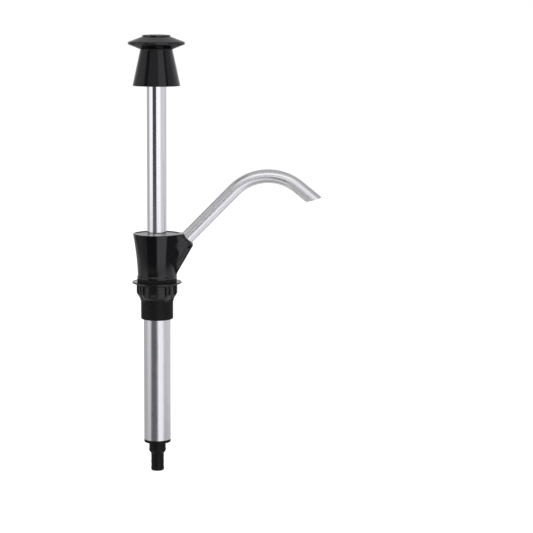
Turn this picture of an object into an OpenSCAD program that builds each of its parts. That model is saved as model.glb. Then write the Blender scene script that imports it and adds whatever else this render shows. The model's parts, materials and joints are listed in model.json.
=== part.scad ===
// Hand water pump for a galley or camper worktop.
// A knob and a hollow rod work a piston in a thin barrel. Water is drawn in at the
// hose tail, passes a ball valve at the foot and one in the piston, rises round the
// rod into the head and leaves by the bent spout.
// z = 0 is the plane where the head's gasket meets the worktop. +X points to the spout.

/* [Plunger] */
// Travel of the plunger
stroke = 120; // [60:5:160]
// Gap left between the pushed-down knob and the rim, room for a finger
finger_gap = 4.2; // [3:0.1:10]
// Outside radius of the rod's tube
rod_r = 8.1; // [6.5:0.1:10]
// Wall of the rod's tube
rod_wall = 1; // [0.8:0.1:1.6]

/* [Knob] */
// Height of the knob's conical skirt
skirt_h = 30.3; // [26:0.1:40]
// How far the skirt opens out from its neck to its lower edge
skirt_flare = 6.6; // [4:0.1:9]
// How far the grip disc stands out past the skirt's lower edge
knob_lip = 3.8; // [2:0.1:8]
// Height from the neck to the middle of the disc's edge
knob_under_h = 5.2; // [4:0.1:8]
// Height from the middle of the disc's edge to the flat top
knob_top_h = 5.5; // [5:0.1:9]
// Radius of the disc's rounded edge
knob_edge_r = 1.2; // [0.8:0.1:1.6]
// Wall of the skirt
skirt_wall = 1.8; // [1.2:0.1:2.4]
// Wall of the hub that grips the rod
hub_wall = 2.3; // [1.6:0.1:3]
// Depth of the hub's socket
hub_depth = 15.7; // [12:0.1:20]
// Thickness of the ribs between hub and skirt
knob_rib_t = 1.4; // [1:0.1:2]
// Radius of the cap that closes the knob's top
knob_cap_r = 11.7; // [10.8:0.1:12.2]
// Thickness of that cap at its rim
knob_cap_t = 3; // [2.6:0.1:3.4]
// How far the cap's rim stands above the knob's flat top
cap_proud = 1.2; // [0.8:0.1:1.6]
// Height of the cap's crown
knob_crown = 0.7; // [0.4:0.1:1.2]

/* [Barrel] */
// Radial gap between the rod and the barrel's bore
annulus = 2.1; // [1.6:0.05:2.6]
// Wall of the barrel's tube
barrel_wall = 1.2; // [0.8:0.1:1.8]
// Height of the barrel's top end above the worktop
barrel_top_z = 1.7; // [0.5:0.1:3]

/* [Head] */
// Wall of the threaded spigot
spigot_wall = 2.3; // [2.2:0.1:4]
// Length of the spigot below the worktop
spigot_len = 32; // [30:0.1:40]
// How far the base flange stands out past the spigot
flange_w = 3; // [2:0.1:6]
// Height of the flange's edge
flange_h = 2.6; // [1.5:0.1:4]
// How far the head draws in above the flange
waist_in = 0.5; // [0:0.1:1]
// How far the head opens out from its waist to its rim
head_flare = 4; // [3:0.1:6]
// Depth of the dish in the head's top
dish_depth = 2.9; // [2:0.1:5]
// Wall of the dish's rim
dish_rim_t = 1.4; // [1:0.1:2]
// Wall between the gland and the spout's socket
gland_wall = 2.3; // [1.5:0.1:4]

/* [Spout] */
// Outside radius of the spout's tube
spout_r = 5.75; // [5:0.05:6.5]
// Wall of the spout's tube
spout_wall = 1; // [0.8:0.1:1.4]
// Angle at which the spout rises from the head, in degrees
spout_rise = 45.6; // [40:0.1:50]
// Angle at which the spout's end points down, in degrees
spout_fall = 39.3; // [20:0.1:60]
// Height at which the spout's axis meets the rod's axis
spout_axis_z = 11.5; // [10:0.1:14]
// Straight length between the boss and the bend
spout_straight = 56.1; // [40:0.1:80]
// Radius of the bend, at the middle of the tube
spout_bend_r = 40.7; // [30:0.1:60]
// Straight length after the bend
spout_end = 16.5; // [10:0.1:30]
// Slope of the cut at the spout's end, in degrees
spout_cut = 16.3; // [0:0.1:20]
// Depth of the socket that holds the spout
socket_depth = 12.2; // [10:0.1:16]
// Wall of the boss round the spout
boss_wall = 2.6; // [2:0.1:3.5]
// Chamfer round the boss's end
boss_chamfer = 1.6; // [1:0.1:1.9]

/* [Clamp] */
// Thickness of the worktop gasket
gasket_t = 2.5; // [1.5:0.1:4]
// How far the clamp washer stands out past the spigot
washer_w = 7.2; // [5.5:0.1:12]
// Thickness of the clamp washer
washer_t = 1.2; // [0.8:0.1:2.5]
// Wall of the clamp nut between its ribs
nut_wall = 1.5; // [1.2:0.1:3]
// Height of the clamp nut between its ribs
nut_h = 13.4; // [10:0.1:15]
// How far the nut's grip ribs stand out
nut_rib_out = 1.9; // [1.5:0.1:3]
// Width of each grip rib
nut_rib_w = 5.9; // [4:0.1:7]
// Height of the collar that the ribs hang from
nut_collar_h = 1.6; // [1:0.1:2.5]
// Width of the slot down each rib
nut_slot_w = 1.5; // [1:0.1:2]
// Number of grip ribs
nut_ribs = 8; // [6:1:10]

/* [Hose tail] */
// Length of the plug inside the barrel
plug_len = 9.5; // [6:0.1:12]
// Height of the rim that the barrel stands on
tail_rim_h = 1.8; // [1.2:0.1:3]
// Outside radius of the wide hose step
wide_r = 7.1; // [6.8:0.1:8]
// Length of the wide hose step
wide_len = 9; // [8.2:0.1:12]
// Outside radius of the narrow hose step
narrow_r = 5.4; // [5:0.1:5.8]
// Length of the narrow hose step
narrow_len = 15; // [12:0.1:20]

/* [Valves] */
// Radius of both valve balls
ball_r = 4.5; // [4.2:0.1:4.7]
// Radius of both valve seats
seat_r = 3.6; // [3:0.1:3.6]
// Radius of the inlet's bore
inlet_r = 3.85; // [3.8:0.05:4]
// Play round a ball in its chamber
ball_play = 0.7; // [0.4:0.1:0.8]
// Lift of the piston's ball
piston_lift = 2.2; // [1.5:0.1:3]
// Lift of the foot ball
foot_lift = 3; // [2:0.1:3.4]

/* [Hidden] */
$fn = 96;
blend_sides = 32;
ring_sides = 24;
arc_steps = 8;

// Colours as photographed
black_plastic = [0.08, 0.08, 0.09];
black_rubber = [0.05, 0.05, 0.05];
polished = [0.82, 0.82, 0.85];
satin = [0.75, 0.75, 0.77];
steel = [0.62, 0.63, 0.65];
white_plastic = [0.9, 0.9, 0.87];

// Clearances
cut = 1;                // overrun of every cut
press_gap = 0.05;       // pressed or glued piece in its seat
run_gap = 0.07;         // rod in its bush
seal_gap = 0.1;         // seal to a moving face
ring_gap = 0.02;        // O-ring in its groove
thread_gap = 0.15;      // nut on the spigot's thread
seat_gap = 0.05;        // faces that part when the clamp opens
ball_gap = 0.02;        // ball over its seat
stop_gap = 0.3;         // piston under the barrel's stop
bump_gap = 0.6;         // piston over the foot cage

// Rod and barrel
rod_bore = rod_r - rod_wall;
barrel_bore = rod_r + annulus;
barrel_r = barrel_bore + barrel_wall;
chamber_share = 0.4;    // of the annulus, kept as a ledge over the barrel's end
chamber_r = barrel_bore - chamber_share * annulus;

// Head, from the worktop upwards
spigot_bore = barrel_r + press_gap;
spigot_r = spigot_bore + spigot_wall;
spigot_chamfer = 0.8;
flange_r = spigot_r + flange_w;
waist_r = flange_r - waist_in;
waist_z = gasket_t + flange_h;
rim_r = waist_r + head_flare;
flare_power = 1.6;      // the wall opens slowly at first and quickly at the rim
rim_round = 0.4;

// Spout port and gland
port_ledge_share = 0.55;    // of the spout's wall, left inside it as a ledge
port_r = spout_r - spout_wall - port_ledge_share * spout_wall;
gland_spare = 0.35;
gland_r = rod_r + annulus + gland_spare;
port_web = 1;
gland_z = gland_r * tan(spout_rise) + spout_axis_z + port_r / cos(spout_rise) + port_web;
rod_seal_h = 2.9;
bush_h = 5.9;
bush_flange_w = 1.9;
bush_flange_h = 1.4;
wiper_w = 1.15;
wiper_h = 1.7;
dish_z = gland_z + rod_seal_h + bush_h;
rim_z = dish_z + dish_depth;
dish_floor_gap = 0.3;
dish_floor_r = gland_r + bush_flange_w + dish_floor_gap;
dish_rise = 0.7;

// Boss and socket, measured along the spout's axis from the rod's axis
socket_r = spout_r + press_gap;
boss_r = socket_r + boss_wall;
socket_s = (gland_r + gland_wall + socket_r * sin(spout_rise)) / cos(spout_rise);
boss_s = socket_s + socket_depth;
boss_sunk = 0.1;
gusset_r = 4.5;
gusset_inset = 0.4;
gusset_x = waist_r - gusset_r - gusset_inset;
gusset_h = 2;
bend_s = boss_s + spout_straight;
spout_tuck = 0.2;
bend_band = 0.02;
bend_band_h = 1;

// Bend of the spout, in the plane of the rod and the spout
bend_start = [bend_s * cos(spout_rise), spout_axis_z + bend_s * sin(spout_rise)];
bend_mid = bend_start + spout_bend_r * [sin(spout_rise), -cos(spout_rise)];
bend_stop = bend_mid + spout_bend_r * [sin(spout_fall), cos(spout_fall)];
end_mid = bend_stop + spout_end * [cos(spout_fall), -sin(spout_fall)];
end_spare = spout_r * tan(90 - spout_fall - spout_cut) + cut;

// O-rings: section radius of each, its groove is wider by these shares
ring_section = 0.65;
spout_ring_section = 0.56;
ring_width_share = 1.5;
barrel_ring_up = 4;
barrel_ring_z = -spigot_len + barrel_ring_up;
spout_ring_in = 3;
spout_ring_s = socket_s + spout_ring_in;
groove_spare = 2 * ring_gap;

// Clamp
gasket_bore = spigot_r + seal_gap;
washer_r = spigot_r + washer_w;
washer_gap = 0.3;
washer_bore = spigot_r + washer_gap;
nut_bore = spigot_r + thread_gap;
nut_r = nut_bore + nut_wall;
nut_top_z = -washer_t - 2 * seat_gap;
nut_rib_r = nut_r + nut_rib_out;
nut_shoulder_share = 0.61;
nut_rib_shoulder = nut_shoulder_share * nut_h;
nut_rib_share = 1.13;
nut_rib_h = nut_rib_share * nut_h;
nut_rib_round = 4;
nut_rib_turn = 40;
nut_rib_steps = 4;
nut_slot_depth = 1;
nut_first_rib = -5.6;   // degrees from the front, as photographed

// Piston, from its stop downwards
piston_r = barrel_bore - seal_gap;
piston_top_z = barrel_top_z - stop_gap;
upper_land = 1.8;
seal_groove = 3.2;
lower_land = 2.4;
seal_w = 2.35;
seal_root_r = barrel_bore - seal_w;
piston_bottom_z = piston_top_z - upper_land - seal_groove - lower_land;
seal_low_z = piston_bottom_z + lower_land;
seat_insert_w = 2.75;
seat_insert_r = seat_r + seat_insert_w;
seat_insert_h = 3.4;
piston_seat_z = piston_bottom_z + seat_insert_h;
ball_rise = sqrt(ball_r * ball_r - seat_r * seat_r);
ball_room_r = ball_r + ball_play;
ball_room_top = piston_seat_z + ball_rise + ball_r + piston_lift + 2 * ball_gap;
neck_roof = 1.5;
neck_top_z = ball_room_top + neck_roof;
window_w = 4.6;
window_low = 0.8;
windows = 4;
piston_spigot_r = rod_bore - press_gap;
piston_spigot_h = 12;
rod_ring_up = 3;
rod_ring_z = neck_top_z + rod_ring_up;
pin_r = 1.25;
pin_up = 8;
pin_z = neck_top_z + pin_up;

// Barrel and hose tail, downwards from the pushed-down piston
cage_top_z = piston_bottom_z - stroke - bump_gap;
barrel_low_z = cage_top_z - plug_len;
plug_r = barrel_bore - press_gap;
tail_rim_r = barrel_r;
wide_top_z = barrel_low_z - tail_rim_h;
wide_low_z = wide_top_z - wide_len;
wide_barb = 0.2;
wide_barb_h = 2.1;
taper_h = 1.8;
narrow_top_z = wide_low_z - taper_h;
tail_low_z = narrow_top_z - narrow_len;
narrow_barb = 0.22;
narrow_barb_h = 1.6;
narrow_barb_shares = [0.46, 0.82];
barb_cone_share = 0.6;
tail_round = 0.9;
cage_inset = 2.85;
cage_r = barrel_bore - cage_inset;
cage_h = 3;
cage_ring_t = 1.6;
cage_hub_r = 1.6;
cage_spoke_w = 1.3;
cage_spokes = 3;
foot_seat_up = 2.6;
foot_seat_z = wide_low_z + foot_seat_up;
seat_land = 3;
foot_ball_z = foot_seat_z + ball_rise + ball_gap;
cage_stub_z = foot_ball_z + ball_r + foot_lift + ball_gap;
tail_ring_share = 0.62;
tail_ring_z = cage_top_z - tail_ring_share * plug_len;

// Knob, from its lower edge upwards
knob_z = rim_z + stroke + finger_gap;
skirt_in = 0.2;
skirt_r = rim_r - skirt_in;
neck_r = skirt_r - skirt_flare;
knob_r = skirt_r + knob_lip;
edge_z = skirt_h + knob_under_h;
knob_edge_angles = [-80, 75];
knob_flat_z = edge_z + knob_top_h;
cap_gap = 0.12;
cap_seat_z = knob_flat_z + cap_proud - knob_cap_t;
hub_r = rod_r + press_gap + hub_wall;
hub_roof = 1.5;
hub_top = skirt_h - hub_roof;
hub_low = hub_top - hub_depth;
knob_rib_drop = 2;
knob_rib_low = hub_low - knob_rib_drop;
knob_ribs = 6;
skirt_slope = skirt_flare / skirt_h;
screw_r = 2.5;
screw_head_r = 4.5;
screw_head_h = 3;
screw_web = 5;
screw_len = 18;
head_room = 0.6;
head_room_r = screw_head_r + head_room;
cap_stem_h = 1.6;
top_plug_len = 16;

// Points of an arc about a middle, from one angle to another
function arc(mid, r, from, to, steps = arc_steps) =
    [for (i = [0:steps]) let (a = from + (to - from) * i / steps) mid + r * [cos(a), sin(a)]];

// A ring of rectangular section
module ring(outer, inner, low, high) {
    translate([0, 0, low])
        difference() {
            cylinder(r = outer, h = high - low);
            translate([0, 0, -cut])
                cylinder(r = inner, h = high - low + 2 * cut);
        }
}

// An O-ring of round section
module o_ring(mid_r, section) {
    rotate_extrude()
        translate([mid_r, 0])
            circle(r = section, $fn = ring_sides);
}

// A ring with a sealing lip on each side of a groove in one face, in shares of its section
module lip_seal(outer, inner, low, high, groove_share = 0.55, lip_share = 0.25) {
    h = high - low;
    w = outer - inner;
    translate([0, 0, low])
        rotate_extrude()
            polygon([
                [inner, 0], [outer, 0], [outer, h], [outer - lip_share * w, h],
                [inner + w / 2, (1 - groove_share) * h], [inner + lip_share * w, h], [inner, h]
            ]);
}

// Puts a piece on the spout's axis, standing along it
module on_spout_axis(s) {
    translate([s * cos(spout_rise), 0, spout_axis_z + s * sin(spout_rise)])
        rotate([0, 90 - spout_rise, 0])
            children();
}

// A rod of round section along the whole spout, with a hair-thick band over each end of the bend
module spout_run(r, start_s) {
    on_spout_axis(start_s)
        cylinder(r = r, h = bend_s - start_s);
    on_spout_axis(bend_s - bend_band_h / 2)
        cylinder(r = r + bend_band, h = bend_band_h);
    translate([bend_mid[0], 0, bend_mid[1]])
        rotate([90, 0, 0])
            rotate([0, 0, 90 - spout_fall])
                rotate_extrude(angle = spout_rise + spout_fall)
                    translate([spout_bend_r, 0])
                        circle(r = r);
    translate([bend_stop[0], 0, bend_stop[1]])
        rotate([0, 90 + spout_fall, 0])
            union() {
                cylinder(r = r, h = spout_end + end_spare);
                translate([0, 0, -bend_band_h / 2])
                    cylinder(r = r + bend_band, h = bend_band_h);
            }
}

// Moulded knob: a grip disc with two cones over a hollow skirt, a ribbed hub inside
module knob() {
    color(black_plastic)
        translate([0, 0, knob_z])
            difference() {
                union() {
                    difference() {
                        rotate_extrude()
                            polygon(concat(
                                [[0, 0], [skirt_r, 0], [neck_r, skirt_h]],
                                arc([knob_r - knob_edge_r, edge_z], knob_edge_r, knob_edge_angles[0], knob_edge_angles[1]),
                                [[knob_cap_r + cap_gap, knob_flat_z], [0, knob_flat_z]]
                            ));
                        rotate_extrude()
                            polygon([
                                [0, -cut],
                                [skirt_r - skirt_wall + skirt_slope * cut, -cut],
                                [neck_r - skirt_wall + skirt_slope * (skirt_h - hub_top), hub_top],
                                [0, hub_top]
                            ]);
                    }
                    translate([0, 0, hub_low])
                        cylinder(r = hub_r, h = hub_depth + press_gap);
                    intersection() {
                        rotate_extrude()
                            polygon([
                                [0, knob_rib_low],
                                [skirt_r - skirt_slope * knob_rib_low - skirt_wall / 2, knob_rib_low],
                                [neck_r - skirt_wall / 2, skirt_h],
                                [0, skirt_h]
                            ]);
                        for (i = [0:knob_ribs - 1])
                            rotate([0, 0, 360 * i / knob_ribs])
                                translate([0, -knob_rib_t / 2, knob_rib_low])
                                    cube([skirt_r, knob_rib_t, skirt_h - knob_rib_low]);
                    }
                }
                translate([0, 0, -cut])
                    cylinder(r = rod_r + press_gap, h = hub_top + cut);
                cylinder(r = screw_r + press_gap, h = knob_flat_z);
                translate([0, 0, hub_top + screw_web])
                    cylinder(r = head_room_r, h = knob_flat_z);
                translate([0, 0, cap_seat_z])
                    cylinder(r = knob_cap_r + cap_gap, h = knob_flat_z);
            }
}

// Crowned cap that snaps into the knob's top over its screw
module knob_cap() {
    crown_r = (knob_cap_r * knob_cap_r + knob_crown * knob_crown) / (2 * knob_crown);
    half_turn = asin(knob_cap_r / crown_r);
    color(black_plastic)
        translate([0, 0, knob_z + cap_seat_z])
            union() {
                rotate_extrude()
                    polygon(concat(
                        [[0, 0], [knob_cap_r, 0]],
                        arc([0, knob_cap_t + knob_crown - crown_r], crown_r, 90 - half_turn, 90)
                    ));
                translate([0, 0, -cap_stem_h])
                    cylinder(r = head_room_r - cap_gap, h = cap_stem_h + cut / 2);
            }
}

// Screw that draws the knob down onto the rod
module knob_screw() {
    color(steel)
        translate([0, 0, knob_z + hub_top + screw_web])
            union() {
                cylinder(r = screw_head_r, h = screw_head_h);
                translate([0, 0, -screw_len])
                    cylinder(r = screw_r, h = screw_len + cut);
            }
}

// Tapped plug in the rod's top end
module rod_top_plug() {
    color(white_plastic)
        ring(rod_bore - press_gap, screw_r + press_gap,
            knob_z + hub_top - top_plug_len, knob_z + hub_top);
}

// Hollow rod
module piston_rod() {
    color(polished)
        difference() {
            ring(rod_r, rod_bore, neck_top_z, knob_z + hub_top);
            translate([0, 0, pin_z])
                rotate([90, 0, 0])
                    cylinder(r = pin_r + press_gap, h = 2 * (rod_r + cut), center = true);
        }
}

// Seal between the rod and the piston's spigot
module rod_o_ring() {
    color(black_rubber)
        translate([0, 0, rod_ring_z])
            o_ring(rod_bore - ring_section - ring_gap, ring_section);
}

// Piston: two lands with the seal between them, a windowed neck and a spigot in the rod
module piston() {
    color(white_plastic)
        difference() {
            union() {
                translate([0, 0, piston_bottom_z])
                    cylinder(r = piston_r, h = lower_land);
                translate([0, 0, piston_bottom_z])
                    cylinder(r = seal_root_r, h = piston_top_z - piston_bottom_z);
                translate([0, 0, seal_low_z + seal_groove])
                    cylinder(r = piston_r, h = upper_land);
                translate([0, 0, piston_top_z])
                    cylinder(r = rod_r, h = neck_top_z - piston_top_z);
                translate([0, 0, neck_top_z])
                    cylinder(r = piston_spigot_r, h = piston_spigot_h);
            }
            translate([0, 0, piston_bottom_z - cut])
                cylinder(r = seat_insert_r + press_gap, h = seat_insert_h + cut);
            translate([0, 0, piston_bottom_z])
                cylinder(r = ball_room_r, h = ball_room_top - piston_bottom_z);
            for (i = [0:windows - 1])
                rotate([0, 0, 360 * (i + 0.5) / windows])
                    translate([0, -window_w / 2, piston_top_z + window_low])
                        cube([rod_r + cut, window_w, ball_room_top - piston_top_z - 2 * window_low]);
            ring(rod_bore + cut, rod_bore - 2 * ring_section - groove_spare,
                rod_ring_z - ring_section * ring_width_share,
                rod_ring_z + ring_section * ring_width_share);
            translate([0, 0, pin_z])
                rotate([90, 0, 0])
                    cylinder(r = pin_r + press_gap, h = 2 * (rod_r + cut), center = true);
        }
}

// Cross pin that holds the piston in the rod
module piston_pin() {
    color(steel)
        translate([0, 0, pin_z])
            rotate([90, 0, 0])
                cylinder(r = pin_r, h = 2 * (rod_r - press_gap), center = true);
}

// Pressed-in seat that traps the piston's ball
module piston_seat() {
    color(white_plastic)
        ring(seat_insert_r, seat_r, piston_bottom_z, piston_seat_z);
}

// Ball that lets water up through the piston
module piston_ball() {
    color(steel)
        translate([0, 0, piston_seat_z + ball_rise + ball_gap])
            sphere(r = ball_r);
}

// Cup seal that rides in the piston's groove and rubs on the barrel
module piston_seal() {
    color(black_rubber)
        lip_seal(barrel_bore - press_gap, seal_root_r + seal_gap,
            seal_low_z + seal_gap, seal_low_z + seal_groove - seal_gap);
}

// The head's outside: spigot, flange and flaring body as one turned profile
module head_outside() {
    rise = rim_z - waist_z;
    rotate_extrude()
        polygon(concat(
            [
                [0, -spigot_len], [spigot_r - spigot_chamfer, -spigot_len],
                [spigot_r, -spigot_len + spigot_chamfer],
                [spigot_r, gasket_t], [flange_r, gasket_t]
            ],
            [for (i = [0:arc_steps]) let (t = i / arc_steps)
                [waist_r + head_flare * pow(t, flare_power), waist_z + (rise - rim_round) * t]],
            [[rim_r - rim_round, rim_z], [0, rim_z]]
        ));
}

// The spout's boss and the gusset that runs from it down to the waist
module spout_boss() {
    intersection() {
        union() {
            hull() {
                on_spout_axis(gland_r)
                    cylinder(r = boss_r, h = boss_s - boss_chamfer - gland_r, $fn = blend_sides);
                translate([gusset_x, 0, waist_z])
                    cylinder(r = gusset_r, h = gusset_h, $fn = blend_sides);
            }
            on_spout_axis(boss_s - boss_chamfer)
                cylinder(r1 = boss_r, r2 = boss_r - boss_chamfer, h = boss_chamfer);
        }
        translate([0, -2 * boss_r, 0])
            cube([2 * boss_s, 4 * boss_r, rim_z - boss_sunk]);
    }
}

// Shallow dish with a gland pocket in its floor
module dish_hollow() {
    rotate_extrude()
        polygon([
            [0, gland_z], [gland_r, gland_z], [gland_r, dish_z], [dish_floor_r, dish_z],
            [rim_r - 2 * dish_rim_t, dish_z + dish_rise], [rim_r - dish_rim_t, rim_z],
            [rim_r - dish_rim_t, rim_z + cut], [0, rim_z + cut]
        ]);
}

// Moulded pump head with the spout boss, the worktop flange and the spigot
module housing() {
    color(black_plastic)
        difference() {
            union() {
                head_outside();
                spout_boss();
            }
            dish_hollow();
            translate([0, 0, barrel_top_z])
                cylinder(r = chamber_r, h = gland_z - barrel_top_z + cut);
            translate([0, 0, -spigot_len - cut])
                cylinder(r = spigot_bore, h = barrel_top_z + spigot_len + cut);
            on_spout_axis(0)
                cylinder(r = port_r, h = socket_s + cut);
            on_spout_axis(socket_s)
                cylinder(r = socket_r, h = socket_depth + cut);
            on_spout_axis(spout_ring_s)
                ring(socket_r + 2 * spout_ring_section + groove_spare - press_gap, socket_r - cut,
                    -spout_ring_section * ring_width_share, spout_ring_section * ring_width_share);
            ring(barrel_r + 2 * ring_section + groove_spare, barrel_r - cut,
                barrel_ring_z - ring_section * ring_width_share,
                barrel_ring_z + ring_section * ring_width_share);
        }
}

// Flanged bush that guides the rod
module guide_bush() {
    color(black_plastic)
        difference() {
            union() {
                ring(gland_r - press_gap, rod_r + run_gap, gland_z + rod_seal_h, dish_z);
                ring(gland_r + bush_flange_w, rod_r + run_gap, dish_z, dish_z + bush_flange_h);
            }
            ring(rod_r + wiper_w + press_gap, rod_r, dish_z + bush_flange_h - wiper_h,
                dish_z + bush_flange_h + cut);
        }
}

// Lip seal under the bush
module rod_seal() {
    color(black_rubber)
        translate([0, 0, 2 * gland_z + rod_seal_h])
            mirror([0, 0, 1])
                lip_seal(gland_r - press_gap, rod_r + seal_gap, gland_z, gland_z + rod_seal_h);
}

// Wiper ring in the bush's top
module wiper_ring() {
    color(black_rubber)
        ring(rod_r + wiper_w, rod_r + seal_gap, dish_z + bush_flange_h - wiper_h, dish_z + bush_flange_h);
}

// Bent spout with a nearly level cut at its end
module spout() {
    color(polished)
        difference() {
            spout_run(spout_r, socket_s + spout_tuck);
            spout_run(spout_r - spout_wall, socket_s);
            translate([end_mid[0], 0, end_mid[1]])
                rotate([0, -spout_cut, 0])
                    translate([-2 * spout_r, -2 * spout_r, -2 * end_spare])
                        cube([4 * spout_r, 4 * spout_r, 2 * end_spare]);
        }
}

// Seal round the spout in its socket
module spout_o_ring() {
    color(black_rubber)
        on_spout_axis(spout_ring_s)
            o_ring(spout_r + spout_ring_section + ring_gap, spout_ring_section);
}

// Gasket between the flange and the worktop
module bench_gasket() {
    color(black_rubber)
        ring(flange_r, gasket_bore, 0, gasket_t);
}

// Wide washer that the nut pushes against the worktop
module clamp_washer() {
    color(black_plastic)
        ring(washer_r, washer_bore, -seat_gap - washer_t, -seat_gap);
}

// One grip rib's place round the nut, with its width along y
module at_nut_ribs() {
    for (i = [0:nut_ribs - 1])
        rotate([0, 0, 360 * i / nut_ribs + nut_first_rib - 90])
            children();
}

// Hand nut with a collar, and slotted grip ribs whose outer faces round in towards the spigot
module clamp_nut() {
    color(black_plastic)
        difference() {
            union() {
                translate([0, 0, nut_top_z - nut_h])
                    cylinder(r = nut_r, h = nut_h);
                translate([0, 0, nut_top_z - nut_collar_h])
                    cylinder(r = nut_rib_r, h = nut_collar_h);
                intersection() {
                    rotate_extrude()
                        polygon(concat(
                            [[0, nut_top_z - nut_collar_h / 2], [nut_rib_r, nut_top_z - nut_collar_h / 2]],
                            arc([nut_rib_r - nut_rib_round, nut_top_z - nut_rib_shoulder],
                                nut_rib_round, 0, -nut_rib_turn, nut_rib_steps),
                            [[nut_bore, nut_top_z - nut_rib_h], [0, nut_top_z - nut_rib_h]]
                        ));
                    at_nut_ribs()
                        translate([0, -nut_rib_w / 2, nut_top_z - nut_rib_h - cut])
                            cube([nut_rib_r + cut, nut_rib_w, nut_rib_h + cut]);
                }
            }
            translate([0, 0, nut_top_z - nut_rib_h - cut])
                cylinder(r = nut_bore, h = nut_rib_h + 2 * cut);
            at_nut_ribs()
                translate([nut_rib_r - nut_slot_depth, -nut_slot_w / 2, nut_top_z - nut_rib_shoulder])
                    cube([nut_slot_depth + cut, nut_slot_w, nut_rib_shoulder - nut_collar_h]);
        }
}

// Thin barrel in which the piston works
module barrel() {
    color(satin)
        ring(barrel_r, barrel_bore, barrel_low_z, barrel_top_z);
}

// Seal between the barrel and the spigot
module barrel_o_ring() {
    color(black_rubber)
        translate([0, 0, barrel_ring_z])
            o_ring(barrel_r + ring_section + ring_gap, ring_section);
}

// One hose barb: a short straight ridge with a cone below it
module barb(r, out, low_z, h) {
    translate([0, 0, low_z])
        cylinder(r1 = r, r2 = r + out, h = barb_cone_share * h);
    translate([0, 0, low_z + barb_cone_share * h])
        cylinder(r = r + out, h = (1 - barb_cone_share) * h);
}

// Foot of the pump: plug, valve chamber and a two-step hose tail
module hose_tail() {
    color(black_plastic)
        difference() {
            union() {
                translate([0, 0, barrel_low_z])
                    cylinder(r = plug_r, h = plug_len);
                translate([0, 0, wide_top_z])
                    cylinder(r = tail_rim_r, h = tail_rim_h);
                translate([0, 0, wide_low_z + wide_barb_h])
                    cylinder(r = wide_r, h = wide_len - wide_barb_h);
                barb(wide_r - wide_barb, 2 * wide_barb, wide_low_z, wide_barb_h);
                translate([0, 0, narrow_top_z])
                    cylinder(r1 = narrow_r, r2 = wide_r - wide_barb, h = taper_h);
                translate([0, 0, tail_low_z + tail_round])
                    cylinder(r = narrow_r, h = narrow_len - tail_round);
                translate([0, 0, tail_low_z])
                    cylinder(r1 = narrow_r - tail_round / 2, r2 = narrow_r, h = tail_round);
                for (share = narrow_barb_shares)
                    barb(narrow_r, narrow_barb, narrow_top_z - share * narrow_len - narrow_barb_h, narrow_barb_h);
            }
            translate([0, 0, tail_low_z - cut])
                cylinder(r = inlet_r, h = foot_seat_z - seat_land - tail_low_z + cut);
            translate([0, 0, foot_seat_z - seat_land - cut])
                cylinder(r = seat_r, h = seat_land + 2 * cut);
            translate([0, 0, foot_seat_z])
                cylinder(r = ball_room_r, h = cage_top_z - foot_seat_z + cut);
            translate([0, 0, cage_top_z - cage_h])
                cylinder(r = cage_r + press_gap, h = cage_h + cut);
            ring(plug_r + cut, barrel_bore - 2 * spout_ring_section - groove_spare,
                tail_ring_z - spout_ring_section * ring_width_share,
                tail_ring_z + spout_ring_section * ring_width_share);
        }
}

// Seal between the hose tail's plug and the barrel
module tail_o_ring() {
    color(black_rubber)
        translate([0, 0, tail_ring_z])
            o_ring(barrel_bore - spout_ring_section - ring_gap, spout_ring_section);
}

// Spoked ring that keeps the foot ball in its chamber
module foot_cage() {
    color(white_plastic)
        union() {
            ring(cage_r, cage_r - cage_ring_t, cage_top_z - cage_h, cage_top_z);
            translate([0, 0, cage_stub_z])
                cylinder(r = cage_hub_r, h = cage_top_z - cage_stub_z);
            for (i = [0:cage_spokes - 1])
                rotate([0, 0, 360 * i / cage_spokes])
                    translate([0, -cage_spoke_w / 2, cage_top_z - cage_h])
                        cube([cage_r - cage_ring_t / 2, cage_spoke_w, cage_h]);
        }
}

// Ball that lets water in at the foot
module foot_ball() {
    color(steel)
        translate([0, 0, foot_ball_z])
            sphere(r = ball_r);
}

knob();
knob_cap();
knob_screw();
rod_top_plug();
piston_rod();
rod_o_ring();
piston();
piston_pin();
piston_seat();
piston_ball();
piston_seal();
housing();
guide_bush();
rod_seal();
wiper_ring();
spout();
spout_o_ring();
bench_gasket();
clamp_washer();
clamp_nut();
barrel();
barrel_o_ring();
hose_tail();
tail_o_ring();
foot_cage();
foot_ball();
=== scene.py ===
import bpy
import json
import math
import numpy as np
from mathutils import Matrix, Vector


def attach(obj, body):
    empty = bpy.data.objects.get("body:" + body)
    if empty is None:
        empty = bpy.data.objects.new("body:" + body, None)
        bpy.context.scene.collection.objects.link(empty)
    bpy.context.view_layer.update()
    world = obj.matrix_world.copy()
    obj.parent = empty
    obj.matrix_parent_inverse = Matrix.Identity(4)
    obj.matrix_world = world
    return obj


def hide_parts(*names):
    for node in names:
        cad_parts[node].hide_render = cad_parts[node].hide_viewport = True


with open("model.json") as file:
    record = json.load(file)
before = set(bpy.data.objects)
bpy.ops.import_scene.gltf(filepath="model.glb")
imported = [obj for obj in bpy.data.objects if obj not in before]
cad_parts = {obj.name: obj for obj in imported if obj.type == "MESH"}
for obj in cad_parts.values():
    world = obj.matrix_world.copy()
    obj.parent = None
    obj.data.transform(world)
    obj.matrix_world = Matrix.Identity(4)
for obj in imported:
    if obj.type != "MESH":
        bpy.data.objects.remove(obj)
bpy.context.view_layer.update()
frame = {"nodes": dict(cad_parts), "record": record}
print("frame loaded")

# Piece sizes are in millimetres, in the frame of the CAD, and meshes are made in metres.
mm = 0.001


# Points of an arc about a middle: middle + radius * (cos, sin) of angles from start to stop.
def arcPoints(middle, radius, start, stop, steps):
    turn = np.linspace(start, stop, steps + 1)
    return np.stack([middle[0] + radius * np.cos(turn), middle[1] + radius * np.sin(turn)], axis=1)


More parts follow.
